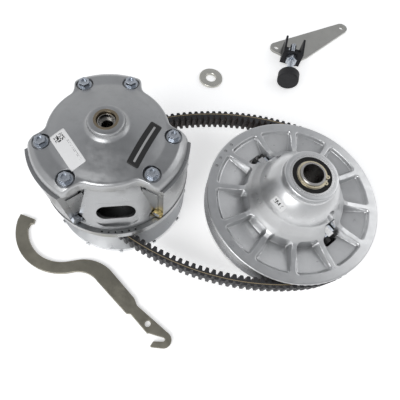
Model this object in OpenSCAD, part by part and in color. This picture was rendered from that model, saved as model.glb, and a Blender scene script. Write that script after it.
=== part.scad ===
// CVT clutch kit: drive pulley, driven pulley, cogged belt, torque stop, spanner and washer.
// Units are millimetres, +Z is up, everything stands on z = 0.
// The origin is the drive pulley's axis at its seating face; the driven axis is at +X.

/* [Layout] */
// Distance between the two pulley axes
centre_distance = 263; // [250:1:280]
// Half angle of the belt groove
flank_deg = 13.5; // [12:0.5:15]
// Closing travel of the drive sheave and opening travel of the driven sheave
shift_travel = 20; // [10:1:20]

/* [Drive pulley] */
// Rim radius of both drive sheaves
drive_rim_r = 98; // [90:1:100]
// Top edge of the fixed sheave's belt face at the rim
drive_fixed_rim_z = 17; // [15:0.5:18]
// Lower edge of the movable sheave's belt face at the rim
drive_open_rim_z = 78; // [76:0.5:80]
// Turn of the three towers about the axis
tower_turn = 101; // [90:1:112]
// Height of the joint between towers and cover
cover_joint_z = 165; // [162:1:168]
// Number of back ribs on the fixed sheave
drive_ribs = 12; // [8:1:16]

/* [Driven pulley] */
// Rim radius of both driven sheaves
driven_rim_r = 133; // [128:1:136]
// Height of the domed centre's bearing face
dome_top_z = 134.8; // [130:0.2:138]
// Number of ribs and pockets
driven_ribs = 12; // [10:1:16]
// Direction of the two slide windows
window_turn = 133; // [120:1:150]

/* [Belt] */
// Width over the outer edge
belt_w = 29.2; // [26:0.2:29.4]
// Thickness between inner and outer faces
belt_t = 14; // [12:0.5:15]
// Mid height of the belt
belt_z = 46; // [45:0.5:47]
// Cog pitch along the outer face
cog_pitch = 10; // [9:0.5:14]

/* [Torque stop] */
// Distance between the two plate holes
stop_hole_pitch = 175; // [120:1:180]
// Height of the adjusting rod above the ground
rod_z = 21; // [20:0.5:24]

/* [Loose tools] */
// Thickness of the hook spanner
spanner_t = 5; // [4:0.5:6]
// Radius of the spanner's hook over its outside
hook_r = 73; // [60:1:80]
// Width of the hook's arm
hook_w = 17; // [12:1:20]
// Width and length of the spanner's handle
handle_w = 24; // [16:1:28]
handle_len = 63; // [40:1:120]
// Direction of the handle on the ground
handle_turn = -41; // [-60:1:-20]
// Outer radius of the clutch washer
washer_r = 23; // [20:0.5:24]

/* [Hidden] */
$fn = 96;
slope = tan(flank_deg);
towers = [0, 120, 240];
post_low_r = 18;
post_mid_r = 14;
post_top_r = 11;
idler_z = [36, 60];
hub_bush_z = [84, 104];
spider_z = [112, 132];
pivot_x = 82;
pivot_z = 101;
roller_x = 62;
roller_z = 118;
roller_r = 9;
bolt_x = 70;
bolt_y = 28;
head_z = 176;
ring_gap_turn = -18;
drive_spring_z = [132.6, 181.5];
shaft_r = 17.5;
shaft_bore_r = 14.5;
bearing_r = 31;
bearing_h = 14;
cam_roller_z = 90;
cam_turn = 28;
driven_spring_z = [4.2, 40.6];
driven_top_z = 61.5;
driven_low_z = 30.5;
flat_r = 72;
// Belt loop: two end arcs and two bowed spans, given by the outer face
loop_a = [61, 9];
loop_ra = 107;
loop_b = [258.5, 0];
loop_rb = 136;
loop_rs = 390;
// Torque stop layout
stop_at = [260.5, 374];
stop_turn = 30.5;
rod_at = [290.5, 360];
rod_turn = -99;
// Spanner: hook centre, angles that the hook's arm spans, bend, nib, claw, hanging hole
hook_at = [-76, -66];
hook_from = 178;
hook_to = 286;
straight = 8;
bend_r = 48;
nib_h = 7;
claw_reach = 62;
hang_share = 0.5;
hang_r = 4;
// Colours
raw = [0.74, 0.75, 0.76];
machined = [0.82, 0.83, 0.84];
steel = [0.55, 0.56, 0.58];
black = [0.08, 0.08, 0.09];
bronze = [0.62, 0.45, 0.26];
zinc = [0.66, 0.68, 0.72];
brass = [0.75, 0.6, 0.28];

function turn_of(v) = atan2(v[1], v[0]);
function span_centre(side) =
  let (d = loop_b - loop_a, l = norm(d), u = d / l, n = [-u[1], u[0]])
  let (p = loop_rs - loop_ra, q = loop_rs - loop_rb, x = (p * p - q * q + l * l) / (2 * l))
  loop_a + u * x - side * n * sqrt(p * p - x * x);
top_c = span_centre(1);
low_c = span_centre(-1);
a_top = turn_of(loop_a - top_c);
b_top = turn_of(loop_b - top_c);
a_low = turn_of(loop_a - low_c);
b_low = turn_of(loop_b - low_c);

module tube(ro, ri, z0, z1) {
  translate([0, 0, z0])
    difference() {
      cylinder(r = ro, h = z1 - z0);
      translate([0, 0, -1]) cylinder(r = ri, h = z1 - z0 + 2);
    }
}

module cylinder_from(r, z0, z1) {
  translate([0, 0, z0]) cylinder(r = r, h = z1 - z0);
}

module at_towers() {
  for (a = towers)
    rotate([0, 0, tower_turn + a]) children();
}

module one_tower(i) {
  rotate([0, 0, tower_turn + towers[i - 1]]) children();
}

module at_driven() {
  translate([centre_distance, 0, 0]) children();
}

module across(r, y0, y1) {
  translate([0, y1, 0]) rotate([90, 0, 0]) cylinder(r = r, h = y1 - y0);
}

module hex_head(af, h) {
  cylinder(r = af / 2 / cos(30), h = h, $fn = 6);
}

// Round wire spring as one swept mesh
function spring_points(r, w, turns, z0, z1, per, sides) =
  [for (i = [0 : turns * per])
    for (k = [0 : sides - 1])
      let (a = 360 * i / per, s = 360 * k / sides, q = r + w * cos(s))
      [q * cos(a), q * sin(a), z0 + w + (z1 - z0 - 2 * w) * i / (turns * per) + w * sin(s)]];

module coil_spring(r, w, turns, z0, z1) {
  per = 24;
  sides = 8;
  n = turns * per;
  skin = [for (i = [0 : n - 1]) for (k = [0 : sides - 1])
    [i * sides + k, i * sides + (k + 1) % sides,
     (i + 1) * sides + (k + 1) % sides, (i + 1) * sides + k]];
  polyhedron(spring_points(r, w, turns, z0, z1, per, sides),
    [for (f = skin) [f[3], f[2], f[1], f[0]], [for (k = [0 : sides - 1]) k],
     [for (k = [0 : sides - 1]) n * sides + sides - 1 - k]], convexity = 10);
}

// ---------------------------------------------------------------- drive pulley

module drive_fixed_sheave() {
  color(raw) difference() {
    union() {
      rotate_extrude() polygon([
        [18.02, 0], [31, 0], [31, 19], [88, 8], [drive_rim_r, 8],
        [drive_rim_r, drive_fixed_rim_z],
        [30, drive_fixed_rim_z + slope * (drive_rim_r - 30)],
        [18.02, drive_fixed_rim_z + slope * (drive_rim_r - 30)]]);
      for (i = [0 : drive_ribs - 1])
        rotate([0, 0, i * 360 / drive_ribs + 8])
          intersection() {
            translate([28, -2.5, 2]) cube([72.2, 5, 20]);
            rotate_extrude() polygon([
              [28, 2], [88, 4], [100.2, 6], [100.2, 13], [88, 9], [28, 21]]);
          }
    }
    for (i = [0 : 2])
      rotate([0, 0, i * 120 + 23])
        translate([93, 0, -1]) cylinder(r = 3, h = 12);
  }
}

module drive_post() {
  color(steel) difference() {
    rotate_extrude() polygon([
      [16, 0], [post_low_r, 0], [post_low_r, 110], [post_mid_r, 110], [post_mid_r, 134],
      [post_top_r, 134], [post_top_r, 197], [post_top_r - 1, 198], [9, 198], [9, 190],
      [7, 190], [7, 52], [16, 46]]);
  }
}

module idler_bearing() {
  color(steel) rotate_extrude() polygon([
    [post_low_r + 0.05, idler_z[0]], [27, idler_z[0]], [28, idler_z[0] + 1],
    [28, idler_z[1] - 1], [27, idler_z[1]], [post_low_r + 0.05, idler_z[1]]]);
}

module spider() {
  color(raw) difference() {
    union() {
      cylinder_from(33, spider_z[0] - 2, spider_z[1]);
      at_towers()
        for (s = [-1, 1])
          translate([24, s * 10.5 - 3, spider_z[0] - 1]) cube([46, 6, 16]);
    }
    translate([0, 0, 100]) cylinder(r = post_mid_r + 0.02, h = 40);
    at_towers() for (s = [-1, 1])
      translate([roller_x, 0, roller_z])
        across(4.01, s > 0 ? 6 : -15, s > 0 ? 15 : -6);
  }
}

module spider_pins() {
  color(steel) at_towers()
    translate([roller_x, 0, roller_z]) across(4, -13.6, 13.6);
}

module spider_buttons() {
  color(black) at_towers()
    for (s = [-1, 1])
      translate([roller_x, 0, roller_z])
        across(8, s > 0 ? 13.6 : -27.2, s > 0 ? 27.2 : -13.6);
}

module spider_roller(i) {
  color(steel) one_tower(i) translate([roller_x, 0, roller_z])
    difference() {
      across(roller_r, -6.5, 6.5);
      across(4.05, -8, 8);
    }
}

module drive_spring() {
  color(steel) coil_spring(27, 2.2, 4, drive_spring_z[0], drive_spring_z[1]);
}

module tower_shell() {
  difference() {
    union() {
      intersection() {
        translate([50, -38, 84]) cube([50, 76, cover_joint_z - 84]);
        cylinder(r = 97, h = 200);
      }
      for (s = [-1, 1])
        translate([62, s * 38 - 1.5, 84]) cube([20, 3, 70]);
    }
    intersection() {
      translate([30, -28, 92]) cube([70, 56, 100]);
      cylinder(r = 90, h = 200);
    }
    for (s = [-1, 1])
      translate([58, s * 37.2 - (s < 0 ? 1 : 0), 146]) cube([8, 1, 12]);
  }
}

module drive_movable_sheave() {
  face = drive_open_rim_z;
  color(raw) difference() {
    union() {
      rotate_extrude() polygon([
        [22.02, 84], [30.5, 84], [30.5, face - slope * (drive_rim_r - 30.5)],
        [drive_rim_r, face], [drive_rim_r, 91], [92, 91], [90, 86], [36, 72], [33, 74],
        [33, 105], [22.02, 105]]);
      rotate_extrude() polygon([
        [88, 84], [92, 90], [69, 158], [69, cover_joint_z], [63, cover_joint_z],
        [63, 157]]);
      at_towers() tower_shell();
      at_towers() for (s = [-1, 1])
        translate([bolt_x, s * bolt_y, 150]) cylinder(r = 9.5, h = cover_joint_z - 150);
    }
    // Room inside the towers for spider, weights and rollers
    at_towers() intersection() {
      translate([30, -28, 92]) cube([70, 56, 58]);
      cylinder(r = 90, h = 200);
    }
    at_towers() intersection() {
      translate([30, -18, 92]) cube([70, 36, 100]);
      cylinder(r = 90, h = 200);
    }
    at_towers() for (s = [-1, 1])
      translate([bolt_x, s * bolt_y, 149]) cylinder(r = 4.1, h = 40);
    at_towers() translate([pivot_x, 0, pivot_z]) across(4.02, -60, 60);
    at_towers() for (s = [-1, 1])
      translate([pivot_x, 0, pivot_z]) across(8, s > 0 ? 38 : -60, s > 0 ? 60 : -38);
    // Oval windows between the towers
    at_towers() rotate([0, 0, 60]) translate([60, 0, 118]) rotate([0, 90, 0]) {
      for (y = [-13, 13])
        translate([0, y, 0]) cylinder(r = 11, h = 40);
      translate([-11, -13, 0]) cube([22, 26, 40]);
    }
    // Balance holes in the rim ledge
    at_towers() rotate([0, 0, 60]) for (i = [-5 : 2 : 5])
      rotate([0, 0, i * 2.6]) translate([95, 0, 86]) cylinder(r = 1.4, h = 8);
  }
}

module sheave_bushing() {
  color(bronze) tube(22, post_low_r + 0.05, hub_bush_z[0], hub_bush_z[1]);
}

// Round body with three wide lobes, filleted where a lobe meets the body
module cover_outline() {
  linear_extrude(height = 60) difference() {
    union() {
      circle(r = 72);
      for (a = towers) rotate(tower_turn + a) {
        intersection() {
          translate([0, -41]) square([120, 82]);
          circle(r = 93);
        }
        translate([50, -46]) square([14, 92]);
      }
    }
    for (a = towers, s = [-1, 1]) rotate(tower_turn + a)
      translate([67.5, s * 49.5]) circle(r = 9);
  }
}

module drive_cover() {
  color(raw) difference() {
    intersection() {
      rotate_extrude() polygon([
        [14.02, 184], [20, 184], [24, 182.6], [34, 182.6], [56, 174], [61, 169],
        [61, cover_joint_z + 0.05], [94, cover_joint_z + 0.05], [94, 169], [88, 178],
        [68, 179], [58, 183], [34, 190], [25, 192.5], [21.5, 195], [20.5, 200.2],
        [19.5, 201.2], [14.02, 201.2]]);
      translate([0, 0, 150]) cover_outline();
    }
    at_towers() for (s = [-1, 1])
      translate([bolt_x, s * bolt_y, head_z]) cylinder(r = 9.8, h = 30);
    at_towers() for (s = [-1, 1])
      translate([bolt_x, s * bolt_y, 150]) cylinder(r = 4.1, h = 40);
  }
}

module cover_bolts() {
  color(zinc) at_towers() for (s = [-1, 1])
    translate([bolt_x, s * bolt_y, 0]) difference() {
      union() {
        translate([0, 0, 152]) cylinder(r = 4, h = 26);
        translate([0, 0, head_z]) cylinder(r = 8.2, h = 1.8);
        translate([0, 0, head_z + 1.5]) hex_head(11.5, 6);
      }
      translate([0, 0, head_z + 5.5]) cylinder(r = 3.6, h = 4);
    }
}

module cover_bushing() {
  color(bronze) tube(14, post_top_r + 0.05, 185, 201.2);
}

module flyweight(i) {
  lift = 21;
  color(steel) one_tower(i) translate([pivot_x, 0, pivot_z]) difference() {
    union() {
      across(7.4, -6, 6);
      rotate([0, lift, 0]) {
        translate([-38, -6, -9]) cube([38, 12, 8.3]);
        translate([-38, 0, -5.35]) across(4.65, -6, 6);
      }
    }
    across(4.05, -8, 8);
  }
}

module flyweight_bolts() {
  color(black) at_towers() translate([pivot_x, 0, pivot_z]) {
    across(4, -44, 42);
    translate([0, 44, 0]) rotate([90, 0, 0]) hex_head(12, 5.9);
  }
}

module flyweight_nuts() {
  color(brass) at_towers() translate([pivot_x, -38.1, pivot_z])
    rotate([90, 0, 0]) difference() {
      hex_head(13, 5.5);
      translate([0, 0, -1]) cylinder(r = 4.02, h = 8);
    }
}

// --------------------------------------------------------------- driven pulley

// Quarter ellipse from the dome's foot to the step round the bearing
function dome_line(r, h) = [for (i = [0 : 14])
  let (a = 51.4 * i / 14)
  [r * cos(a), 66 + h * sin(a)]];

// One wedge pocket with a sloped floor and outer wall
module driven_pocket() {
  wide = 11;
  rotate([0, 0, -wide]) rotate_extrude(angle = 2 * wide) polygon([
    [81, 54], [112, 60.4], [117, 64.6], [117, 90], [81, 90]]);
}

module driven_outer_sheave() {
  inner = dome_line(58, 66);
  color(machined) at_driven() difference() {
    rotate_extrude() polygon(concat(
      [[56, 66], [56, 52], [42, 52], [42, 47], [flat_r, 47],
       [driven_rim_r, driven_top_z], [driven_rim_r, 64.4], [119, 64.4], [84, 66.5],
       [74, 69], [67, 74]],
      [for (p = dome_line(64, 72)) if (p[1] > 76) p],
      [[38.6, 124], [37.6, 126], [37.6, 133.8], [36.6, dome_top_z],
       [bearing_r + 0.02, dome_top_z], [bearing_r + 0.02, 120.6], [28.5, 120.6]],
      [for (i = [14 : -1 : 1]) inner[i]]));
    for (i = [0 : driven_ribs - 1])
      rotate([0, 0, i * 360 / driven_ribs + window_turn]) driven_pocket();
    // Slide windows with a hole in the dome above each
    for (a = [0, 180]) rotate([0, 0, window_turn + a]) {
      translate([60, -11, 40]) cube([28, 22, 42]);
      translate([40, 0, 100]) rotate([0, 90, 0]) cylinder(r = 8, h = 40);
    }
    // Balance drill spots in the rim
    for (i = [0 : 3])
      rotate([0, 0, 142 + 7 * i]) translate([126, 0, 63]) cylinder(r = 2.5, h = 4);
  }
}

module bearing_outer_race() {
  z = dome_top_z;
  color(steel) at_driven() difference() {
    tube(bearing_r, 27.4, z - bearing_h, z);
    translate([0, 0, z - 7]) rotate_extrude()
      translate([24.25, 0]) circle(r = 4.05);
  }
}

module bearing_inner_race() {
  z = dome_top_z;
  color(steel) at_driven() difference() {
    tube(21.2, shaft_r + 0.01, z - bearing_h, z);
    translate([0, 0, z - 7]) rotate_extrude()
      translate([24.25, 0]) circle(r = 4.05);
  }
}

module bearing_balls() {
  color(steel) at_driven() for (i = [0 : 10])
    rotate([0, 0, i * 360 / 11])
      translate([24.25, 0, dome_top_z - 7]) sphere(r = 4);
}

module bearing_seals() {
  z = dome_top_z;
  color(black) at_driven() {
    tube(27.3, 21.35, z - 1.6, z - 0.6);
    tube(27.3, 21.35, z - 13.4, z - 12.4);
  }
}

module driven_inner_sheave() {
  low = driven_low_z;
  color(machined) at_driven() difference() {
    union() {
      rotate_extrude() polygon([
        [28, 33], [34, 33], [36, 41], [50, 41], [54, 34], [122, 25], [driven_rim_r, 25],
        [driven_rim_r, low], [flat_r, low + slope * (driven_rim_r - flat_r)],
        [35, low + slope * (driven_rim_r - flat_r)], [35, 98], [28, 98]]);
      for (i = [0 : driven_ribs - 1]) rotate([0, 0, i * 360 / driven_ribs])
        intersection() {
          translate([52, -2.5, 24]) cube([72, 5, 20]);
          rotate_extrude() polygon([[52, 27], [122, 25], [122, 30], [52, 42]]);
        }
      // Lugs that reach up through the outer sheave's windows
      for (a = [0, 180]) rotate([0, 0, window_turn + a])
        translate([62, -5, 40]) cube([16, 10, 28]);
    }
    for (i = [0 : 2]) rotate([0, 0, i * 120])
      translate([20, 0, cam_roller_z]) rotate([0, 90, 0]) cylinder(r = 3.01, h = 30);
  }
}

module slide_blocks() {
  color(steel) at_driven() for (a = [0, 180]) rotate([0, 0, window_turn + a])
    for (s = [-1, 1])
      translate([62.5, s > 0 ? 5.05 : -9.05, 50]) cube([13, 4, 17]);
}

module slide_pads() {
  color(black) at_driven() for (a = [0, 180]) rotate([0, 0, window_turn + a])
    for (s = [-1, 1])
      translate([76.5, s > 0 ? 5.05 : -10.05, 50]) cube([7, 5, 16]);
}

module cam_roller_pins() {
  color(steel) at_driven() for (i = [0 : 2]) rotate([0, 0, i * 120])
    translate([20.8, 0, cam_roller_z]) rotate([0, 90, 0]) cylinder(r = 3, h = 15.2);
}

module cam_roller(i) {
  color(black) at_driven() rotate([0, 0, (i - 1) * 120])
    translate([21.3, 0, cam_roller_z]) rotate([0, 90, 0]) difference() {
      cylinder(r = 6, h = 5.7);
      translate([0, 0, -1]) cylinder(r = 3.05, h = 10);
    }
}

module driven_bushing() {
  color(bronze) at_driven() tube(27.98, 22.05, 34, 46);
}

module driven_shaft() {
  color(steel) at_driven() rotate_extrude() polygon([
    [shaft_bore_r, 0], [21, 0], [22, 1], [22, 50], [shaft_r, 50], [shaft_r, 138],
    [shaft_r - 1, 139], [shaft_bore_r, 139]]);
}

module helix_cam() {
  color(raw) at_driven() difference() {
    tube(27.6, shaft_r + 0.02, 52, 110);
    for (i = [0 : 2]) for (k = [0 : 10])
      let (t = k / 10)
      rotate([0, 0, i * 120 - cam_turn * t])
        translate([20.1, 0, cam_roller_z - shift_travel * t])
          rotate([0, 90, 0]) cylinder(r = 6.6, h = 20);
  }
}

module driven_snap_ring() {
  z = dome_top_z + 0.15;
  color(steel) at_driven() difference() {
    union() {
      tube(20.2, shaft_r + 0.02, z, z + 1.6);
      for (s = [-1, 1]) rotate([0, 0, ring_gap_turn + s * 14])
        translate([20.6, 0, z]) cylinder(r = 2.8, h = 1.6);
    }
    translate([0, 0, z - 1]) cylinder(r = shaft_r + 0.02, h = 4);
    rotate([0, 0, ring_gap_turn]) translate([12, -2, z - 1]) cube([14, 4, 4]);
    for (s = [-1, 1]) rotate([0, 0, ring_gap_turn + s * 14])
      translate([20.8, 0, z - 1]) cylinder(r = 1.1, h = 4);
  }
}

module driven_spring() {
  color(steel) at_driven()
    coil_spring(43, 2, 3, driven_spring_z[0], driven_spring_z[1]);
}

module spring_seat() {
  color(steel) at_driven() rotate_extrude() polygon([
    [22.02, 1.5], [49, 1.5], [50, 2.5], [50, 8], [48, 8], [48, 4], [22.02, 4]]);
}

// ------------------------------------------------------------------------ belt

module belt_arc(c, r, from, sweep) {
  half = belt_w / 2;
  inner = half - slope * belt_t;
  translate([c[0], c[1], belt_z]) rotate([0, 0, from])
    rotate_extrude(angle = sweep)
      polygon([[r - belt_t, -inner], [r, -half], [r, half], [r - belt_t, inner]]);
}

module belt_notches(c, r, from, sweep) {
  n = max(1, round(sweep * PI / 180 * r / cog_pitch));
  translate([c[0], c[1], 0]) for (i = [0 : n - 1])
    rotate([0, 0, from + sweep * (i + 0.5) / n]) {
      translate([r - belt_t - 0.6, 0, 0]) cylinder(r = 3.1, h = 90, $fn = 24);
      translate([r + 1, 0, 0]) cylinder(r = 2.9, h = 90, $fn = 24);
    }
}

module drive_belt() {
  arcs = [
    [loop_a, loop_ra, a_top, 360 + a_low - a_top],
    [low_c, loop_rs, a_low, b_low - a_low],
    [loop_b, loop_rb, b_low, b_top - b_low],
    [top_c, loop_rs, b_top, a_top - b_top]];
  color(black) for (s = arcs) difference() {
    belt_arc(s[0], s[1], s[2], s[3]);
    belt_notches(s[0], s[1], s[2], s[3]);
  }
}

// ----------------------------------------------------------------- torque stop

module in_stop() {
  translate([stop_at[0], stop_at[1], 0]) rotate([0, 0, stop_turn]) children();
}

module on_rod() {
  translate([rod_at[0], rod_at[1], rod_z]) rotate([0, 0, rod_turn])
    rotate([0, 90, 0]) children();
}

function arc(c, r, a0, a1, n) = [for (i = [0 : n])
  let (a = a0 + (a1 - a0) * i / n)
  [c[0] + r * cos(a), c[1] + r * sin(a)]];

// Points of a convex outline grown by r with round corners
function rounded(corners, r) = let (n = len(corners)) [for (i = [0 : n - 1])
  let (before = corners[(i + n - 1) % n], at = corners[i], after = corners[(i + 1) % n])
  let (a0 = turn_of(at - before) - 90, a1 = turn_of(after - at) - 90)
  for (p = arc(at, r, a0, a1 < a0 ? a1 + 360 : a1, 12)) p];

module stop_plate() {
  color(steel) in_stop() difference() {
    linear_extrude(height = 4.5)
      polygon(rounded([[0, 0], [26, -36], [48, -34], [stop_hole_pitch, 0]], 13));
    for (x = [0, stop_hole_pitch])
      translate([x, 0, -1]) cylinder(r = 5.5, h = 8);
  }
}

module stop_channel() {
  color(black) translate([rod_at[0], rod_at[1], 0]) rotate([0, 0, rod_turn])
    difference() {
      translate([-14, -20, 4.55]) cube([44, 40, 30]);
      translate([-18, -16, 8.05]) cube([43, 32, 40]);
      translate([20, 0, rod_z]) rotate([0, 90, 0]) cylinder(r = 6.05, h = 20);
      translate([-5, 0, 0]) cylinder(r = 4.02, h = 10);
      translate([14, 0, 0]) cylinder(r = 4.02, h = 10);
    }
}

module stop_rivets() {
  color(steel) translate([rod_at[0], rod_at[1], 0]) rotate([0, 0, rod_turn])
    for (x = [-5, 14]) translate([x, 0, 0]) {
      translate([0, 0, 4.6]) cylinder(r = 4, h = 5);
      translate([0, 0, 8.1]) cylinder(r = 6.5, h = 2.5);
    }
}

module stop_rod() {
  color(steel) on_rod() translate([0, 0, -6]) {
    cylinder(r = 6, h = 89);
    translate([0, 0, -1]) cylinder(r = 5.2, h = 2);
  }
}

module jam_nut() {
  color(zinc) on_rod() translate([0, 0, 30.4]) difference() {
    hex_head(20, 9);
    translate([0, 0, -1]) cylinder(r = 6.05, h = 12);
  }
}

module lock_nut() {
  color(brass) on_rod() translate([0, 0, 66]) difference() {
    union() {
      hex_head(19, 6);
      cylinder(r = 9.4, h = 8);
    }
    translate([0, 0, -1]) cylinder(r = 6.02, h = 12);
  }
}

module rubber_bumper() {
  color(black) on_rod() translate([0, 0, 74.1]) difference() {
    rotate_extrude() polygon([
      [0, 0], [19, 0], [20.8, 2], [20.8, 17.5], [18.8, 19.5], [0, 19.5]]);
    translate([0, 0, -1]) cylinder(r = 6.02, h = 11);
  }
}

// ----------------------------------------------------------------- loose tools

// A point at radius r and angle a of the spanner's hook ring
function on_hook(r, a) = hook_at + [r * cos(a), r * sin(a)];

// Two circles and the straight bar between them
module bar(p, rp, q, rq) {
  hull() {
    translate(p) circle(r = rp, $fn = 32);
    translate(q) circle(r = rq, $fn = 32);
  }
}

module hook_spanner() {
  // The hook's ring, a straight bit, the bend and the handle follow one another smoothly
  along = [cos(handle_turn), sin(handle_turn)];
  side = [-along[1], along[0]];
  leave = hook_to - 270;
  mid_r = hook_r - hook_w / 2;
  bend_at = on_hook(mid_r, hook_to) + straight * [cos(leave), sin(leave)]
    + bend_r * [sin(leave), -cos(leave)];
  handle_at = bend_at + bend_r * side;
  neck = handle_at + handle_len * along;
  knuckle = neck + claw_reach * along + [3, 2];
  tip = knuckle + [-16, -9];
  wide = handle_w - hook_w;
  color(steel) linear_extrude(height = spanner_t) difference() {
    union() {
      polygon(concat(arc(hook_at, hook_r, hook_from, hook_to, 24),
        [for (i = [0 : 12]) bend_at + (bend_r - (hook_w + wide * i / 12) / 2)
          * [cos(leave + 90 - (leave - handle_turn) * i / 12),
             sin(leave + 90 - (leave - handle_turn) * i / 12)]],
        [neck - (handle_w / 2 - 1) * side, neck + 6 * along - 6 * side,
         neck + 6 * along + 6 * side, neck - 8 * along + (handle_w / 2 - 1) * side],
        [for (i = [12 : -1 : 0]) bend_at + (bend_r + (hook_w + wide * i / 12) / 2)
          * [cos(leave + 90 - (leave - handle_turn) * i / 12),
             sin(leave + 90 - (leave - handle_turn) * i / 12)]],
        arc(hook_at, hook_r - hook_w, hook_to, hook_from, 24)));
      // Nib that grips the sheave, at the ring's open end
      polygon([on_hook(hook_r, hook_from + 0.5), on_hook(hook_r - 1, hook_from - 7),
        on_hook(hook_r - hook_w - nib_h, hook_from - 4),
        on_hook(hook_r - hook_w - nib_h, hook_from + 4),
        on_hook(hook_r - hook_w - nib_h + 4, hook_from + 5),
        on_hook(hook_r - hook_w, hook_from + 12)]);
      bar(neck, 7, knuckle, 11);
      bar(knuckle, 11, tip, 1.5);
    }
    // Mouth of the claw
    bar(knuckle + [-1, 0.5], 2.5, knuckle + [-22, 2], 5);
    translate(neck + hang_share * (knuckle - neck)) circle(r = hang_r);
  }
}

module clutch_washer() {
  color(zinc) translate([127, 267, 0]) rotate_extrude() polygon([
    [10, 0], [washer_r - 1, 0], [washer_r, 1], [washer_r, 4], [washer_r - 1, 5],
    [11, 5], [10, 4]]);
}

drive_fixed_sheave();
drive_post();
idler_bearing();
spider();
spider_pins();
spider_buttons();
spider_roller(1);  // spider_roller_1
spider_roller(2);  // spider_roller_2
spider_roller(3);  // spider_roller_3
drive_spring();
drive_movable_sheave();
sheave_bushing();
drive_cover();
cover_bolts();
cover_bushing();
flyweight(1);  // flyweight_1
flyweight(2);  // flyweight_2
flyweight(3);  // flyweight_3
flyweight_bolts();
flyweight_nuts();
driven_outer_sheave();
bearing_outer_race();
bearing_inner_race();
bearing_balls();
bearing_seals();
driven_inner_sheave();
slide_blocks();
slide_pads();
cam_roller_pins();
cam_roller(1);  // cam_roller_1
cam_roller(2);  // cam_roller_2
cam_roller(3);  // cam_roller_3
driven_bushing();
driven_shaft();
helix_cam();
driven_snap_ring();
driven_spring();
spring_seat();
drive_belt();
stop_plate();
stop_channel();
stop_rivets();
stop_rod();
jam_nut();
lock_nut();
rubber_bumper();
hook_spanner();
clutch_washer();
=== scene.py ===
import math

import bpy
import numpy as np
from mathutils import Matrix, Vector

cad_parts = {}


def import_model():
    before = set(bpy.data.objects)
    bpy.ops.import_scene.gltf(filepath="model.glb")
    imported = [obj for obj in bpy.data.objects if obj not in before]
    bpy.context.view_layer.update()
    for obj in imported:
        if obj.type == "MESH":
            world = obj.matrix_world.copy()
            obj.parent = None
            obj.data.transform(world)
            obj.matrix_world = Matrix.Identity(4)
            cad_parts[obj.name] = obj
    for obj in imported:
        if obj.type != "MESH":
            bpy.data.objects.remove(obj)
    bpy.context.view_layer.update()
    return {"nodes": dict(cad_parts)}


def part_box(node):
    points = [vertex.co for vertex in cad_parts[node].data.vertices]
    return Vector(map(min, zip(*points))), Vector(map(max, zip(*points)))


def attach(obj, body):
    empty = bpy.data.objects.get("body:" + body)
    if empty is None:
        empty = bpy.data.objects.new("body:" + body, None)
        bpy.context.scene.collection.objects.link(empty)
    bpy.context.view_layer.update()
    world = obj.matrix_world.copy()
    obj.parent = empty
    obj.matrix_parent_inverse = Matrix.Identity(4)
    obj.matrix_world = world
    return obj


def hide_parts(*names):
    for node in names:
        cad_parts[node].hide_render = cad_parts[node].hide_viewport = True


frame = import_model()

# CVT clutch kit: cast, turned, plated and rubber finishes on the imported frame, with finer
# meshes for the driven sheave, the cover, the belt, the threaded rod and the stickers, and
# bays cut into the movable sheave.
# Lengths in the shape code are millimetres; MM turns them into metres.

MM = 0.001
WELD_GAP = 0.002
SMOOTH_ANGLE = 32
nodes = frame["nodes"]


def node_box(name):
    """A node's box in millimetres, as two arrays."""
    low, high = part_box(name)
    return np.array(low) / MM, np.array(high) / MM


def node_centre(name):
    low, high = node_box(name)
    return (low + high) / 2


# ------------------------------------------------------------------ node graphs


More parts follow.
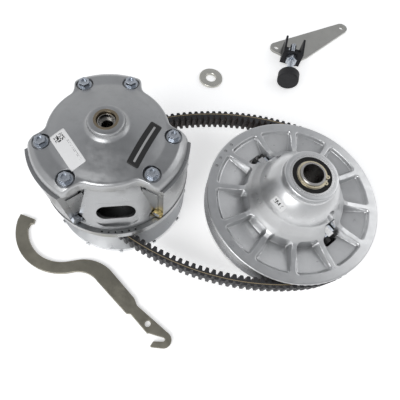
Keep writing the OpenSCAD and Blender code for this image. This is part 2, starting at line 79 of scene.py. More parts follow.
class Graph:
    """A material under construction, with short calls for its nodes."""

    def __init__(self, name):
        self.material = bpy.data.materials.new(name)
        self.material.use_nodes = True
        self.tree = self.material.node_tree
        self.tree.nodes.clear()
        self.bsdf = self.add("ShaderNodeBsdfPrincipled")
        out = self.add("ShaderNodeOutputMaterial")
        self.join(self.bsdf.outputs["BSDF"], out.inputs["Surface"])
        self.place = self.add("ShaderNodeTexCoord").outputs["Object"]

    def add(self, kind, **settings):
        node = self.tree.nodes.new(kind)
        for key, value in settings.items():
            setattr(node, key, value)
        return node

    def join(self, source, target):
        self.tree.links.new(source, target)

    def feed(self, target, value):
        if isinstance(value, bpy.types.NodeSocket):
            self.join(value, target)
        else:
            target.default_value = value

    def noise(self, scale, detail=3.0, rough=0.55):
        node = self.add("ShaderNodeTexNoise")
        self.join(self.place, node.inputs["Vector"])
        node.inputs["Scale"].default_value = scale
        node.inputs["Detail"].default_value = detail
        node.inputs["Roughness"].default_value = rough
        return node.outputs["Fac"]

    def math(self, operation, a, b=0.0, c=0.0):
        node = self.add("ShaderNodeMath", operation=operation)
        for socket, value in zip(node.inputs, (a, b, c)):
            self.feed(socket, value)
        return node.outputs[0]

    def span(self, value, low, high, to_low=0.0, to_high=1.0):
        node = self.add("ShaderNodeMapRange")
        for socket, item in zip(node.inputs, (value, low, high, to_low, to_high)):
            self.feed(socket, item)
        return node.outputs[0]

    def mix(self, share, a, b, blend="MIX"):
        node = self.add("ShaderNodeMix", data_type="RGBA", blend_type=blend)
        self.feed(node.inputs[0], share)
        self.feed(node.inputs[6], (*a, 1) if isinstance(a, tuple) else a)
        self.feed(node.inputs[7], (*b, 1) if isinstance(b, tuple) else b)
        return node.outputs[2]

    def bump(self, height, depth, normal=None):
        node = self.add("ShaderNodeBump")
        node.inputs["Distance"].default_value = depth * MM
        node.inputs["Strength"].default_value = 1.0
        self.join(height, node.inputs["Height"])
        if normal:
            self.join(normal, node.inputs["Normal"])
        return node.outputs["Normal"]

    def soft_edge(self, radius):
        node = self.add("ShaderNodeBevel", samples=4)
        node.inputs["Radius"].default_value = radius * MM
        return node.outputs["Normal"]

    def edge_mask(self, soft):
        """1 along edges and 0 on open faces."""
        face = self.add("ShaderNodeNewGeometry").outputs["Normal"]
        dot = self.add("ShaderNodeVectorMath", operation="DOT_PRODUCT")
        self.join(soft, dot.inputs[0])
        self.join(face, dot.inputs[1])
        return self.span(dot.outputs["Value"], 0.99, 0.85)

    def hollow_mask(self, reach):
        """1 in the open and 0 deep in corners."""
        node = self.add("ShaderNodeAmbientOcclusion", samples=4)
        node.inputs["Distance"].default_value = reach * MM
        return node.outputs["AO"]

    def radius_from(self, x, y):
        """Distance from an upright axis at x, y, in metres."""
        split = self.add("ShaderNodeSeparateXYZ")
        self.join(self.place, split.inputs[0])
        dx = self.math("SUBTRACT", split.outputs[0], x * MM)
        dy = self.math("SUBTRACT", split.outputs[1], y * MM)
        return self.math("SQRT", self.math("ADD", self.math("MULTIPLY", dx, dx),
                                           self.math("MULTIPLY", dy, dy)))

    def finish(self, colour, rough, normal, metallic=0.0):
        self.feed(self.bsdf.inputs["Base Color"], colour)
        self.feed(self.bsdf.inputs["Roughness"], rough)
        self.join(normal, self.bsdf.inputs["Normal"])
        self.bsdf.inputs["Metallic"].default_value = metallic
        return self.material


def shade(colour, factor):
    return tuple(min(1.0, c * factor) for c in colour)


def metal(name, colour, rough, sand=0.02, cast=0.0, turned=None, edge_wear_and_highlight=0.4, painted_corner_shade=0.55,
          tint=0.08, edge=0.5, reach=9.0):
    """Bare or plated metal. sand and cast are the depths in millimetres of fine and coarse
    texture, turned is the axis that tool marks run round, edges are lightened as real wear and
    a painted highlight, and corners are darkened as painted shade."""
    g = Graph(name)
    soft = g.soft_edge(edge)
    patches = g.noise(38, 4)
    stains = g.noise(140, 5, 0.65)
    body = g.mix(patches, shade(colour, 1 - tint), shade(colour, 1 + tint))
    body = g.mix(g.span(stains, 0.52, 0.8, 0, 0.4), body, shade(colour, 0.78))
    # Edges lighten towards a paler copy of the colour: partly real rubbed wear, partly a
    # painted highlight.
    body = g.mix(g.math("MULTIPLY", g.edge_mask(soft), edge_wear_and_highlight), body, shade(colour, 1.35))
    # Painted shade: the ambient occlusion share darkens corners and hollows towards a
    # near-black copy of the colour.
    corner_shade_share = g.span(g.hollow_mask(reach), 0.1, 0.85, painted_corner_shade, 0)
    body = g.mix(corner_shade_share, body, shade(colour, 0.12))
    normal = soft
    if cast:
        normal = g.bump(g.noise(260, 3), cast, normal)
    if turned is not None:
        r = g.radius_from(*turned)
        rings = g.add("ShaderNodeTexNoise", noise_dimensions="1D")
        g.join(r, rings.inputs["W"])
        rings.inputs["Scale"].default_value = 1600
        rings.inputs["Detail"].default_value = 2
        normal = g.bump(rings.outputs["Fac"], 0.02, normal)
    normal = g.bump(g.noise(1300, 2), sand, normal)
    gloss = g.span(g.noise(90, 4), 0.3, 0.7, rough * 0.82, rough * 1.2)
    return g.finish(body, gloss, normal, 1.0)


def rubber_like(name, colour, rough, scuff, depth=0.06, edge=0.6):
    """Rubber or moulded plastic with a paler scuff along edges and dust in patches."""
    g = Graph(name)
    soft = g.soft_edge(edge)
    body = g.mix(g.noise(70, 4), shade(colour, 0.75), shade(colour, 1.3))
    body = g.mix(g.math("MULTIPLY", g.edge_mask(soft), 0.5), body, scuff)
    body = g.mix(g.span(g.noise(420, 4), 0.58, 0.8, 0, 0.35), body, scuff)
    gloss = g.span(g.noise(150, 3), 0.3, 0.7, rough * 0.85, rough * 1.15)
    g.bsdf.inputs["Specular IOR Level"].default_value = 0.22
    return g.finish(body, gloss, g.bump(g.noise(1100, 2), depth, soft))


drive_axis = (0.0, 0.0)
driven_axis = tuple(node_centre("driven_shaft")[:2])

FINISH = {
    "cast": metal("cast_satin", (0.40, 0.405, 0.41), 0.31, cast=0.08, painted_corner_shade=0.9, reach=34),
    "cover": metal("cast_cover", (0.42, 0.425, 0.43), 0.36, cast=0.06, edge_wear_and_highlight=0.3),
    "rim": metal("cast_rim", (0.70, 0.71, 0.72), 0.32, turned=drive_axis),
    "die": metal("die_cast", (0.66, 0.665, 0.67), 0.33, cast=0.05, painted_corner_shade=0.75, reach=16),
    "face": metal("turned_face", (0.70, 0.70, 0.70), 0.24, turned=driven_axis),
    "post": metal("turned_post", (0.50, 0.49, 0.47), 0.28, turned=drive_axis),
    "shaft": metal("turned_shaft", (0.42, 0.41, 0.40), 0.30, turned=driven_axis),
    "race": metal("bearing_race", (0.66, 0.62, 0.54), 0.26, turned=driven_axis),
    "dark_steel": metal("forged_steel", (0.34, 0.34, 0.35), 0.42, cast=0.08),
    "spring": metal("spring_wire", (0.30, 0.31, 0.33), 0.34),
    "zinc": metal("zinc_blue", (0.62, 0.66, 0.72), 0.26, sand=0.03, edge_wear_and_highlight=0.6, tint=0.14),
    "zinc_plate": metal("zinc_sheet", (0.46, 0.455, 0.43), 0.34, sand=0.04, tint=0.1),
    "zinc_ring": metal("zinc_ring", (0.60, 0.59, 0.54), 0.30, sand=0.04, tint=0.12),
    "yellow": metal("zinc_yellow", (0.72, 0.65, 0.48), 0.32, sand=0.04, tint=0.15),
    "spanner": metal("tool_plate", (0.36, 0.34, 0.28), 0.34, cast=0.3, edge_wear_and_highlight=1.6,
                     edge=1.8, tint=0.34),
    "bronze": metal("bronze", (0.30, 0.25, 0.18), 0.34, turned=drive_axis),
    "brass": metal("brass", (0.72, 0.56, 0.24), 0.28, tint=0.14),
    "painted": metal("black_steel", (0.035, 0.035, 0.038), 0.40, cast=0.08, edge_wear_and_highlight=0.5),
    "rubber": rubber_like("black_rubber", (0.022, 0.022, 0.024), 0.55, (0.10, 0.10, 0.10)),
    "seal": rubber_like("seal_rubber", (0.010, 0.010, 0.010), 0.5, (0.03, 0.03, 0.03), 0.03),
    "plastic": rubber_like("black_plastic", (0.03, 0.03, 0.03), 0.42, (0.12, 0.12, 0.12)),
}

WEARS = {
    "cast": ["drive_movable_sheave", "spider"],
    "rim": ["drive_fixed_sheave"],
    "face": ["driven_inner_sheave", "bearing_outer_race"],
    "post": ["drive_post", "idler_bearing", "spider_pins"],
    "shaft": ["driven_shaft", "helix_cam"],
    "race": ["bearing_inner_race"],
    "dark_steel": ["flyweight_1", "flyweight_2", "flyweight_3", "cam_roller_pins"],
    "spring": ["drive_spring", "driven_spring"],
    "zinc": ["cover_bolts", "flyweight_bolts", "jam_nut", "slide_blocks", "spring_seat",
             "bearing_balls", "stop_rivets"],
    "zinc_plate": ["stop_plate"],
    "zinc_ring": ["clutch_washer"],
    "yellow": ["driven_snap_ring"],
    "spanner": ["hook_spanner"],
    "bronze": ["sheave_bushing", "cover_bushing", "driven_bushing"],
    "brass": ["flyweight_nuts", "lock_nut"],
    "painted": ["stop_channel"],
    "rubber": ["rubber_bumper"],
    "seal": ["bearing_seals"],
    "plastic": ["spider_buttons", "slide_pads", "spider_roller_1", "spider_roller_2",
                "spider_roller_3", "cam_roller_1", "cam_roller_2", "cam_roller_3"],
}


def smooth_by_angle():
    """Node group that shades smooth, apart from edges sharper than 32 degrees."""
    group = bpy.data.node_groups.new("smooth_by_angle", "GeometryNodeTree")
    for way in ("INPUT", "OUTPUT"):
        group.interface.new_socket("Geometry", in_out=way, socket_type="NodeSocketGeometry")
    made = group.nodes.new
    start = made("NodeGroupInput")
    end = made("NodeGroupOutput")
    faces = made("GeometryNodeSetShadeSmooth")
    edges = made("GeometryNodeSetShadeSmooth")
    edges.domain = "EDGE"
    angle = made("GeometryNodeInputMeshEdgeAngle")
    less = made("FunctionNodeCompare")
    less.operation = "LESS_THAN"
    less.inputs[1].default_value = math.radians(SMOOTH_ANGLE)
    join = group.links.new
    join(start.outputs[0], faces.inputs["Geometry"])
    join(faces.outputs[0], edges.inputs["Geometry"])
    join(angle.outputs[0], less.inputs[0])
    join(less.outputs[0], edges.inputs["Shade Smooth"])
    join(edges.outputs[0], end.inputs[0])
    return group


SMOOTH = smooth_by_angle()


def dress(obj, finish):
    obj.data.materials.clear()
    obj.data.materials.append(FINISH[finish])


def soften(obj):
    weld = obj.modifiers.new("weld", "WELD")
    weld.merge_threshold = WELD_GAP * MM
    obj.modifiers.new("smooth", "NODES").node_group = SMOOTH


for finish, names in WEARS.items():
    for name in names:
        dress(nodes[name], finish)
        soften(nodes[name])

# ------------------------------------------------------------------ mesh helpers


def grid_faces(rows, columns, close_rows, close_columns):
    i = np.arange(rows if close_rows else rows - 1)[:, None]
    j = np.arange(columns if close_columns else columns - 1)[None, :]
    ni = (i + 1) % rows
    nj = (j + 1) % columns
    corners = [i * columns + j, i * columns + nj, ni * columns + nj, ni * columns + j]
    return np.stack(np.broadcast_arrays(*corners), axis=-1).reshape(-1, 4)


def piece(name, points, faces, material, body, covers=()):
    """A smooth mesh piece from points in millimetres."""
    mesh = bpy.data.meshes.new(name)
    mesh.from_pydata((np.asarray(points).reshape(-1, 3) * MM).tolist(), [],
                     [tuple(int(k) for k in f) for f in faces])
    mesh.validate()
    mesh.materials.append(material)
    obj = bpy.data.objects.new(name, mesh)
    bpy.context.scene.collection.objects.link(obj)
    mesh.polygons.foreach_set("use_smooth", [True] * len(mesh.polygons))
    obj.modifiers.new("smooth", "NODES").node_group = SMOOTH
    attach(obj, body)
    if covers:
        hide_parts(*covers)
    return obj


def smoothstep(low, high, x):
    t = np.clip((x - low) / (high - low), 0, 1)
    return t * t * (3 - 2 * t)


def resample(corners, step, blur):
    """Points every step along a polyline of (r, z), with its corners rounded by blur."""
    corners = np.array(corners, float)
    run = np.r_[0, np.cumsum(np.hypot(*np.diff(corners, axis=0).T))]
    at = np.linspace(0, run[-1], int(run[-1] / step) + 1)
    line = np.stack([np.interp(at, run, corners[:, k]) for k in (0, 1)], axis=1)
    ends = line[[0, -1]].copy()
    for _ in range(blur):
        line[1:-1] = (line[:-2] + 2 * line[1:-1] + line[2:]) / 4
    line[[0, -1]] = ends
    return line


def cut(obj, tools):
    """Cuts the tool meshes out of obj for good."""
    for tool in tools:
        modifier = obj.modifiers.new("cut", "BOOLEAN")
        modifier.operation = "DIFFERENCE"
        modifier.solver = "MANIFOLD"
        modifier.object = tool
    bpy.context.view_layer.update()
    cut_mesh = bpy.data.meshes.new_from_object(
        obj.evaluated_get(bpy.context.evaluated_depsgraph_get()))
    obj.modifiers.clear()
    obj.data = cut_mesh
    obj.modifiers.new("smooth", "NODES").node_group = SMOOTH
    for tool in tools:
        bpy.data.objects.remove(tool)


def prism(outline, depth, matrix):
    """A closed cutter: an outline in x, y pushed along z by depth, then placed."""
    n = len(outline)
    points = [(x, y, z) for z in (0, depth) for x, y in outline]
    faces = [tuple(range(n))[::-1], tuple(range(n, 2 * n))]
    faces += [(k, (k + 1) % n, n + (k + 1) % n, n + k) for k in range(n)]
    mesh = bpy.data.meshes.new("cutter")
    mesh.from_pydata([tuple(matrix @ Vector(p) * MM) for p in points], [], faces)
    obj = bpy.data.objects.new("cutter", mesh)
    bpy.context.scene.collection.objects.link(obj)
    return obj


def rounded_rectangle(width, height, corner, per_corner=8):
    points = []
    for k, (sx, sy) in enumerate([(1, 1), (-1, 1), (-1, -1), (1, -1)]):
        for i in range(per_corner + 1):
            a = math.radians(90 * k + 90 * i / per_corner)
            points.append((sx * (width / 2 - corner) + corner * math.cos(a),
                           sy * (height / 2 - corner) + corner * math.sin(a)))
    return points


def along_edges(outline, step=1.5):
    """The outline with points added, so that none is further than step from the next."""
    points = []
    for a, b in zip(outline, outline[1:] + outline[:1]):
        count = max(1, math.ceil(math.dist(a, b) / step))
        points += [(a[0] + (b[0] - a[0]) * k / count, a[1] + (b[1] - a[1]) * k / count)
                   for k in range(count)]
    return points


def circle(radius, count=40):
    turns = [2 * math.pi * i / count for i in range(count)]
    return [(radius * math.cos(a), radius * math.sin(a)) for a in turns]


# ------------------------------------------------------------------ driven sheave

RIM_R = 133.0
POCKETS = 12
WINDOW_TURN = 133.0
RIB_HALF = 3.2
DOME_R = 64.0
DOME_H = 72.0
DOME_Z = 66.0
POCKET_IN = 74.0
POCKET_OUT = 119.5
POCKET_CORNER = 6.0
POCKET_FLOOR = (79.0, 53.0)
FLOOR_SLOPE = 0.165


def pocket_depth(r, turn):
    """0 on ribs and rim, 1 on a pocket's floor, for arrays of radius and angle."""
    pitch = 2 * math.pi / POCKETS
    local = (turn - math.radians(WINDOW_TURN) + pitch / 2) % pitch - pitch / 2
    x = r * np.cos(local)
    y = np.abs(r * np.sin(local))
    side = y * math.cos(pitch / 2) - x * math.sin(pitch / 2) + RIB_HALF
    ends = np.maximum(POCKET_IN - r, r - POCKET_OUT)
    a = side + POCKET_CORNER
    b = ends + POCKET_CORNER
    inside = np.minimum(np.maximum(a, b), 0)
    gap = inside + np.hypot(np.maximum(a, 0), np.maximum(b, 0)) - POCKET_CORNER
    return smoothstep(0.0, 4.5, -gap)


def driven_sheave():
    top_z = node_box("driven_outer_sheave")[1][2]
    dome = [(DOME_R * math.cos(a), DOME_Z + DOME_H * math.sin(a))
            for a in np.radians(np.arange(4, 53.5, 3.5))]
    bell = [p for p in dome if p[1] > 90]
    outside = [(RIM_R, 61.5), (RIM_R, 63.8), (RIM_R - 0.6, 64.4), (119, 64.4), (96, 65.2),
               (84, 66.8), (76, 70.5), (69.5, 78)] + bell + [
               (39.5, 123), (38, 124.5), (37.6, 126), (37.6, top_z - 1),
               (36.6, top_z), (31.02, top_z)]
    outside = resample(outside, 0.9, 3)
    inner_dome = [(p[0] * 0.9, DOME_Z + (p[1] - DOME_Z) * 0.915) for p in dome[::-1]]
    inside = resample([(31.02, top_z), (31.02, 120.6), (28.5, 120.6)] + inner_dome
                      + [(56, 66), (56, 52), (42, 52), (42, 47), (72, 47), (RIM_R, 61.5)],
                      2.5, 0)[1:-1]
    turns = np.linspace(0, 2 * math.pi, 900, endpoint=False)[:, None]
    r = outside[:, 0][None, :] + 0 * turns
    z = outside[:, 1][None, :] + 0 * turns
    floor = POCKET_FLOOR[1] + (r - POCKET_FLOOR[0]) * FLOOR_SLOPE
    depth = pocket_depth(r, turns) * (r > 72)
    z = z + depth * np.minimum(floor - z, 0)
    r = np.concatenate([r, inside[:, 0][None, :] + 0 * turns], axis=1)
    z = np.concatenate([z, inside[:, 1][None, :] + 0 * turns], axis=1)
    points = np.stack([driven_axis[0] + r * np.cos(turns),
                       driven_axis[1] + r * np.sin(turns), z], axis=-1)
    sheave = piece("driven_sheave_casting", points,
                   grid_faces(*r.shape, True, True), FINISH["die"],
                   "driven_outer", ["driven_outer_sheave"])
    tools = []
    middle = Matrix.Translation((*driven_axis, 0))
    for side in (0, 180):
        turn = middle @ Matrix.Rotation(math.radians(WINDOW_TURN + side), 4, "Z")
        window = rounded_rectangle(26, 22, 3)
        tools.append(prism(window, 80, turn @ Matrix.Translation((75, 0, 40))))
        across = turn @ Matrix.Translation((44, 0, 102)) @ Matrix.Rotation(
            math.radians(108), 4, "Y")
        tools.append(prism(circle(8), 52, across))
    for k in range(4):
        a = math.radians(142 + 7 * k)
        spot = Matrix.Translation((driven_axis[0] + 126 * math.cos(a),
                                   driven_axis[1] + 126 * math.sin(a), 63))
        tools.append(prism(circle(2.5, 24), 4, spot))
    cut(sheave, tools)


driven_sheave()

# ------------------------------------------------------------------ movable sheave

TOWER_TURN = 101.0
WINDOW_Z = 117.0
CONE_R = 82.9
BAY_DEPTH = 4.2
CONE_TILT = math.degrees(math.atan2(23, 68))


def movable_casting():
    """The CAD casting with a shallow bay sunk into the wall round each window."""
    mesh = nodes["drive_movable_sheave"].data.copy()
    obj = bpy.data.objects.new("drive_moving_casting", mesh)
    bpy.context.scene.collection.objects.link(obj)
    weld = obj.modifiers.new("weld", "WELD")
    weld.merge_threshold = WELD_GAP * MM
    tools = []
    for k in range(3):
        turn = Matrix.Rotation(math.radians(TOWER_TURN + 60 + 120 * k), 4, "Z")
        face = turn @ Matrix.Translation((CONE_R - BAY_DEPTH, 0, WINDOW_Z)) @ Matrix.Rotation(
            math.radians(90 - CONE_TILT), 4, "Y")
        tools.append(prism(rounded_rectangle(46, 60, 18), 30, face))
    cut(obj, tools)
    obj.data.materials.clear()
    obj.data.materials.append(FINISH["cast"])
    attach(obj, "drive_moving")
    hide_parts("drive_movable_sheave")


movable_casting()

# ------------------------------------------------------------------ cover

COVER_R = 72.0
LOBE_R = 93.0
LOBE_HALF = 41.0
BOLT_AT = (70.0, 28.0)
SEAT_Z = 176.0
SEAT_R = (9.5, 10.6)
COVER_TOP = [(14.05, 201.2), (19.5, 201.2), (20.5, 200.2), (21.5, 195.5), (25, 192.5),
             (34, 190), (58, 183), (68, 179.5), (84, 178), (90, 174), (94, 169)]
top_line = resample(COVER_TOP, 0.7, 4)
keep_order = np.argsort(top_line[:, 0])


def soft_min(a, b, width):
    h = np.clip(0.5 + 0.5 * (b - a) / width, 0, 1)
    return b * (1 - h) + a * h - width * h * (1 - h)


def tower_angle(turn):
    """Angle from the nearest tower, in radians."""
    third = 2 * math.pi / 3
    return (turn - math.radians(TOWER_TURN) + third / 2) % third - third / 2


def cover_edge(turn):
    local = np.abs(tower_angle(turn))
    lobe = soft_min(np.full_like(local, LOBE_R),
                    LOBE_HALF / np.maximum(np.sin(local), 0.05), 9)
    return -soft_min(-lobe, np.full_like(local, -COVER_R), 8)


def cover_height(x, y):
    """Top of the cover at x, y, with the bolt seats sunk into it."""
    r = np.hypot(x, y)
    turn = np.arctan2(y, x)
    z = np.interp(r, top_line[keep_order, 0], top_line[keep_order, 1])
    near = np.clip(cover_edge(turn) - r, 0, 4)
    z = z - (4 - np.sqrt(np.maximum(16 - (4 - near) ** 2, 0)))
    local = tower_angle(turn)
    away = np.hypot(r * np.cos(local) - BOLT_AT[0], np.abs(r * np.sin(local)) - BOLT_AT[1])
    return z + (np.minimum(z, SEAT_Z) - z) * smoothstep(SEAT_R[1], SEAT_R[0], away)


def drive_cover():
    base_z = node_box("drive_cover")[0][2]
    turns = np.linspace(0, 2 * math.pi, 840, endpoint=False)[:, None]
    hub = np.r_[14.05, 17, np.linspace(19.4, 26, 18), np.linspace(27, 54, 26)][None, :]
    share = np.r_[np.linspace(0.02, 0.85, 46), np.linspace(0.86, 1, 20)][None, :]
    outer = 55 + (cover_edge(turns) - 55) * share
    r = np.concatenate([hub + 0 * turns, outer], axis=1)
    z = cover_height(r * np.cos(turns), r * np.sin(turns))
    edge = r[:, -1:]
    under_r = np.array([61, 56, 34, 24, 20, 14.05])[None, :] + 0 * turns
    under_z = np.array([169, 174, 182.6, 182.6, 184, 184])[None, :] + 0 * turns
    r = np.concatenate([r, edge, edge * 0 + 61, under_r], axis=1)
    z = np.concatenate([z, edge * 0 + base_z, edge * 0 + base_z, under_z], axis=1)
    points = np.stack([r * np.cos(turns), r * np.sin(turns), z], axis=-1)
    piece("cover_casting", points, grid_faces(*r.shape, True, True)[:, ::-1],
          FINISH["cover"], "drive_moving", ["drive_cover"])


drive_cover()

# ------------------------------------------------------------------ belt

BELT_W = 29.2
BELT_T = 14.0
BELT_Z = node_centre("drive_belt")[2]
FLANK = math.tan(math.radians(13.5))
COG_PITCH = 10.0
LOOP_A = np.array([61.0, 9.0])
LOOP_B = np.array([258.5, 0.0])
RADIUS_A = 107.0
RADIUS_B = 136.0
SPAN_R = 390.0


def span_centre(side):
    d = LOOP_B - LOOP_A
    reach = np.hypot(*d)
    u = d / reach
    p = SPAN_R - RADIUS_A
    q = SPAN_R - RADIUS_B
    x = (p * p - q * q + reach * reach) / (2 * reach)
    return LOOP_A + u * x - side * np.array([-u[1], u[0]]) * math.sqrt(p * p - x * x)


def belt_path():
    """Outer face of the belt: points, outward directions, and run along it."""
    top = span_centre(1)
    low = span_centre(-1)

    def turn(v):
        return math.atan2(v[1], v[0])

    a_top, b_top = turn(LOOP_A - top), turn(LOOP_B - top)
    a_low, b_low = turn(LOOP_A - low), turn(LOOP_B - low)
    whole = 2 * math.pi
    arcs = [(LOOP_A, RADIUS_A, a_top, a_low + whole), (low, SPAN_R, a_low, b_low),
            (LOOP_B, RADIUS_B, b_low, b_top), (top, SPAN_R, b_top, a_top)]
    points, outs, runs, run = [], [], [], 0.0
    for centre, radius, start, end in arcs:
        length = radius * (end - start)
        s = np.arange(0, length, 0.5)
        a = start + s / radius
        out = np.stack([np.cos(a), np.sin(a)], axis=1)
        points.append(centre + radius * out)
        outs.append(out)
        runs.append(run + s)
        run += length
    return np.concatenate(points), np.concatenate(outs), np.concatenate(runs), run


def drive_belt():
    at, out, run, length = belt_path()
    cogs = round(length / COG_PITCH)
    phase = 2 * math.pi * cogs * run / length
    inner = BELT_T - 6.2 * smoothstep(0.35, 0.85, 0.5 - 0.5 * np.cos(phase))
    outer = 3.4 * smoothstep(0.3, 0.85, 0.5 + 0.5 * np.cos(phase))
    section = [(0, -1), (0.5, -1), (1, -1), (1, -0.5), (1, 0), (1, 0.5), (1, 1), (0.5, 1),
               (0, 1), (0, 0.5), (0, 0), (0, -0.5)]
    rows = []
    for share, side in section:
        depth = outer + share * (inner - outer)
        height = BELT_Z + side * (BELT_W / 2 - FLANK * depth)
        xy = at - out * depth[:, None]
        rows.append(np.column_stack([xy, height]))
    points = np.stack(rows, axis=1)
    belt = piece("cogged_belt", points, grid_faces(len(at), len(section), True, True)[:, ::-1],
                 belt_rubber(), "belt", ["drive_belt"])
    layer = belt.data.uv_layers.new(name="depth")
    for loop in belt.data.loops:
        layer.data[loop.index].uv = (section[loop.vertex_index % len(section)][0], 0)
    for label, side in (("upper", 1), ("lower", -1)):
        fray = 0.16 * np.sin(run * 1.9) + 0.12 * np.sin(run * 4.3 + 1)
        bands = []
        for depth, lift in ((4.6, -0.2), (4.7, 0.22), (5.5, 0.22), (5.6, -0.2)):
            d = depth + fray
            bands.append(np.column_stack([
                at - out * d[:, None], BELT_Z + side * (BELT_W / 2 - FLANK * d + lift)]))
        order = -1 if side > 0 else 1
        piece("belt_cord_" + label, np.stack(bands, axis=1),
              grid_faces(len(at), 4, True, True)[:, ::order], belt_cord, "belt")
    return belt


def belt_rubber():
    """Black rubber, brown and dusty down between the inner cogs, with ground flanks."""
    g = Graph("belt_rubber")
    soft = g.soft_edge(0.7)
    body = g.mix(g.noise(60, 4), (0.018, 0.018, 0.020), (0.040, 0.040, 0.044))
    split = g.add("ShaderNodeSeparateXYZ")
    g.join(g.add("ShaderNodeUVMap", uv_map="depth").outputs[0], split.inputs[0])
    walls = g.span(split.outputs[0], 0.92, 0.99)
    brown = g.math("MULTIPLY", walls, g.span(g.noise(120, 4), 0.35, 0.7, 0.1, 0.6))
    body = g.mix(brown, body, (0.075, 0.042, 0.030))
    body = g.mix(g.math("MULTIPLY", g.edge_mask(soft), 0.4), body, (0.12, 0.11, 0.10))
    normal = g.bump(g.noise(900, 3), 0.08, soft)
    return g.finish(body, g.span(g.noise(200, 3), 0.3, 0.7, 0.5, 0.72), normal)


def cord_material():
    g = Graph("belt_cord")
    body = g.mix(g.noise(900, 4), (0.20, 0.15, 0.08), (0.62, 0.50, 0.32))
    return g.finish(body, 0.8, g.bump(g.noise(2200, 2), 0.1))


belt_cord = cord_material()
drive_belt()

# ------------------------------------------------------------------ stickers


def rect(g, u, v, u0, u1, v0, v1):
    """1 inside the box u0..u1, v0..v1."""
    parts = [g.math("GREATER_THAN", u, u0), g.math("LESS_THAN", u, u1),
             g.math("GREATER_THAN", v, v0), g.math("LESS_THAN", v, v1)]
    both = g.math("MULTIPLY", parts[0], parts[1])
    return g.math("MULTIPLY", both, g.math("MULTIPLY", parts[2], parts[3]))


def label_space(g):
    """u and v on a sticker, in millimetres from its middle."""
    split = g.add("ShaderNodeSeparateXYZ")
    g.join(g.add("ShaderNodeUVMap", uv_map="label").outputs[0], split.inputs[0])
    return split.outputs[0], split.outputs[1]


def speckle(g, u, v, cell):
    """Random on and off squares."""
    cells = g.add("ShaderNodeCombineXYZ")
    g.join(g.math("FLOOR", g.math("DIVIDE", u, cell)), cells.inputs[0])
    g.join(g.math("FLOOR", g.math("DIVIDE", v, cell)), cells.inputs[1])
    chance = g.add("ShaderNodeTexWhiteNoise", noise_dimensions="2D")
    g.join(cells.outputs[0], chance.inputs["Vector"])
    return g.math("GREATER_THAN", chance.outputs["Value"], 0.5)


def paper(name, base, marks, rough=0.42):
    """A printed sticker; marks are (box, colour, cell) and cell > 0 breaks it into squares."""
    g = Graph(name)
    u, v = label_space(g)
    body = g.mix(g.noise(200, 3), shade(base, 0.94), base)
    for box, colour, cell in marks:
        mask = rect(g, u, v, *box)
        if cell:
            mask = g.math("MULTIPLY", mask, speckle(g, u, v, cell))
        body = g.mix(mask, body, colour)
    g.bsdf.inputs["Specular IOR Level"].default_value = 0.2
    return g.finish(body, g.span(g.noise(500, 3), 0.3, 0.7, rough * 0.85, rough * 1.15),
                    g.bump(g.noise(260, 3), 0.03))


def sticker(name, outline, centre, turn, height, material, body, slot):
    """A thin sheet that follows the surface height(x, y) under it."""
    outline = along_edges(outline)
    rings = np.linspace(0, 1, 16)[1:]
    c, s = math.cos(math.radians(turn)), math.sin(math.radians(turn))
    flat = [(0.0, 0.0)] + [(k * x, k * y) for k in rings for x, y in outline]
    flat = np.array(flat)
    x = centre[0] + c * flat[:, 0] - s * flat[:, 1]
    y = centre[1] + s * flat[:, 0] + c * flat[:, 1]
    z = height(x, y) + 0.2
    n = len(outline)
    faces = [(0, 1 + k, 1 + (k + 1) % n) for k in range(n)]
    for ring in range(len(rings) - 1):
        a = 1 + ring * n
        faces += [(a + k, a + n + k, a + n + (k + 1) % n, a + (k + 1) % n)
                  for k in range(n)]
    obj = piece(name, np.column_stack([x, y, z]), faces, material, body)
    layer = obj.data.uv_layers.new(name="label")
    for loop in obj.data.loops:
        layer.data[loop.index].uv = flat[loop.vertex_index]
    sheet = obj.modifiers.new("sheet", "SOLIDIFY")
    sheet.thickness = 0.12 * MM
    sheet.offset = 0
    return obj


# Radius of each sticker's middle, as a share of the cover's or the dome's radius
LABEL_AT = 0.71
BADGE_AT = 0.65
DOME_LABEL_AT = 0.81
WHITE = (0.80, 0.80, 0.80)
INK = (0.03, 0.03, 0.03)
GREY = (0.35, 0.35, 0.35)

def round_cover(radius, tower):
    """A place on the cover in line with a tower, and the turn that follows the rim."""
    turn = TOWER_TURN + 120 * tower
    a = math.radians(turn)
    return (radius * math.cos(a), radius * math.sin(a)), turn + 90


white_marks = [((-22, -12, -6, 5), INK, 1.1)]
white_marks += [((-9, 20, 4.6 + 1.5 * k, 5.3 + 1.5 * k), GREY, 1.3) for k in range(2)]
sticker("cover_label", rounded_rectangle(51, 19, 1.5), *round_cover(LABEL_AT * COVER_R, 1),
        cover_height,
        paper("label_white", WHITE, white_marks), "drive_moving", "black_plastic")

sticker("cover_badge", rounded_rectangle(62, 14, 2), *round_cover(BADGE_AT * COVER_R, 2),
        cover_height,
        paper("label_dark", (0.03, 0.03, 0.03), [((-26, 26, -1.2, 1.2), GREY, 0)], 0.35),
        "drive_moving", "black_plastic")


def dome_height(x, y):
    r = np.hypot(x - driven_axis[0], y - driven_axis[1])
    return DOME_Z + DOME_H * np.sqrt(np.maximum(1 - (r / DOME_R) ** 2, 0))


dome_side = WINDOW_TURN + 90
dome_at = np.array(driven_axis) + DOME_LABEL_AT * DOME_R * np.array(
    [math.cos(math.radians(dome_side)), math.sin(math.radians(dome_side))])
sticker("dome_label", rounded_rectangle(22, 7, 1), dome_at, dome_side + 90, dome_height,
        paper("label_small", WHITE, [((-8, 2, -1.6, 1.6), INK, 1.2),
                                     ((5, 7, -1.6, 1.6), INK, 1.0)]),
        "driven_outer", "black_plastic")

# ------------------------------------------------------------------ threaded rod

ROD_R = 6.0
THREAD_PITCH = 1.75


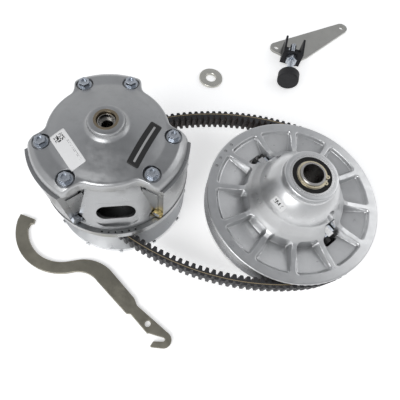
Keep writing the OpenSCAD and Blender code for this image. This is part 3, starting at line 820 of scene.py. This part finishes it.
def threaded_rod():
    low, high = node_box("stop_rod")
    nose = node_centre("rubber_bumper") - node_centre("jam_nut")
    nose = nose / np.linalg.norm(nose)
    middle = (low + high) / 2
    # Length along the rod, from the box of a slanted bar
    half = ((high - low)[1] - 2 * ROD_R * abs(nose[0])) / abs(nose[1]) / 2
    steps = np.arange(-half, half, 0.35)[:, None]
    turns = np.linspace(0, 2 * math.pi, 36, endpoint=False)[None, :]
    wave = np.abs((steps / THREAD_PITCH - turns / (2 * math.pi)) % 1 - 0.5) * 2
    r = ROD_R - 0.75 * wave - 0.8 * smoothstep(half - 2, half, np.abs(steps))
    side = np.cross([0, 0, 1], nose)
    up = np.array([0, 0, 1.0])
    points = (middle + steps[..., None] * nose + (r * np.cos(turns))[..., None] * side
              + (r * np.sin(turns))[..., None] * up)
    count = points.shape[1]
    faces = [tuple(f) for f in grid_faces(*points.shape[:2], False, True)]
    last = (points.shape[0] - 1) * count
    faces += [tuple(range(count))[::-1], tuple(last + k for k in range(count))]
    piece("threaded_rod", points, faces, FINISH["zinc"], "stop_rod",
          ["stop_rod"])


threaded_rod()

# ------------------------------------------------------------------ floor, light, camera


def floor():
    mesh = bpy.data.meshes.new("floor")
    size = 4.0
    mesh.from_pydata([(-size, -size, 0), (size, -size, 0), (size, size, 0),
                      (-size, size, 0)], [], [(0, 1, 2, 3)])
    obj = bpy.data.objects.new("floor", mesh)
    bpy.context.scene.collection.objects.link(obj)
    obj.location.z = -0.3 * MM
    g = Graph("floor")
    g.bsdf.inputs["Emission Color"].default_value = (1, 1, 1, 1)
    g.bsdf.inputs["Emission Strength"].default_value = 0.42
    mesh.materials.append(g.finish(
        g.mix(g.noise(3, 2), (0.93, 0.93, 0.93), (0.95, 0.95, 0.95)), 0.9,
        g.bump(g.noise(40, 2), 0.01)))


def world():
    """A pale room: bright at the horizon and darker overhead, so that metal has contrast."""
    room = bpy.data.worlds.new("studio")
    room.use_nodes = True
    bpy.context.scene.world = room
    tree = room.node_tree
    back = tree.nodes["Background"]
    split = tree.nodes.new("ShaderNodeSeparateXYZ")
    ramp = tree.nodes.new("ShaderNodeValToRGB")
    tree.links.new(tree.nodes.new("ShaderNodeTexCoord").outputs["Generated"],
                   split.inputs[0])
    tree.links.new(split.outputs[2], ramp.inputs[0])
    tree.links.new(ramp.outputs[0], back.inputs["Color"])
    ramp.color_ramp.elements[0].color = (0.75, 0.75, 0.75, 1)
    ramp.color_ramp.elements[1].color = (0.26, 0.265, 0.275, 1)
    bend = ramp.color_ramp.elements.new(0.55)
    bend.color = (0.62, 0.63, 0.65, 1)
    back.inputs["Strength"].default_value = 1.0


def softbox(name, place, target, size, power):
    light = bpy.data.lights.new(name, "AREA")
    light.shape = "DISK"
    light.size = size
    light.energy = power
    obj = bpy.data.objects.new(name, light)
    bpy.context.scene.collection.objects.link(obj)
    obj.location = place
    aim = Vector(target) - Vector(place)
    obj.rotation_euler = aim.to_track_quat("-Z", "Y").to_euler()


CAMERA_AT = (0.0875, -0.2251, 0.5221)
CAMERA_TURNS = (65.97, -9.54, 15.23)


def camera():
    height, yaw, roll = (math.radians(a) for a in CAMERA_TURNS)
    turn = Matrix.Rotation(yaw, 3, "Z")
    right = Vector((1, 0, 0))
    ahead = Vector((0, math.cos(height), -math.sin(height)))
    up = Vector((0, math.sin(height), math.cos(height)))
    across = turn @ (right * math.cos(roll) + up * math.sin(roll))
    above = turn @ (up * math.cos(roll) - right * math.sin(roll))
    back = turn @ -ahead
    axes = Matrix((across, above, back)).transposed().to_4x4()
    view = bpy.data.cameras.new("camera")
    view.lens = 30.8
    view.sensor_width = 36
    obj = bpy.data.objects.new("camera", view)
    bpy.context.scene.collection.objects.link(obj)
    obj.matrix_world = Matrix.Translation(CAMERA_AT) @ axes
    bpy.context.scene.camera = obj


floor()
world()
softbox("key", (-0.5, -0.9, 1.1), (0.1, 0, 0.05), 0.9, 9)
softbox("fill", (1.1, 0.4, 0.9), (0.2, 0, 0.05), 0.8, 1.6)
camera()
bpy.context.scene.view_settings.view_transform = "Standard"
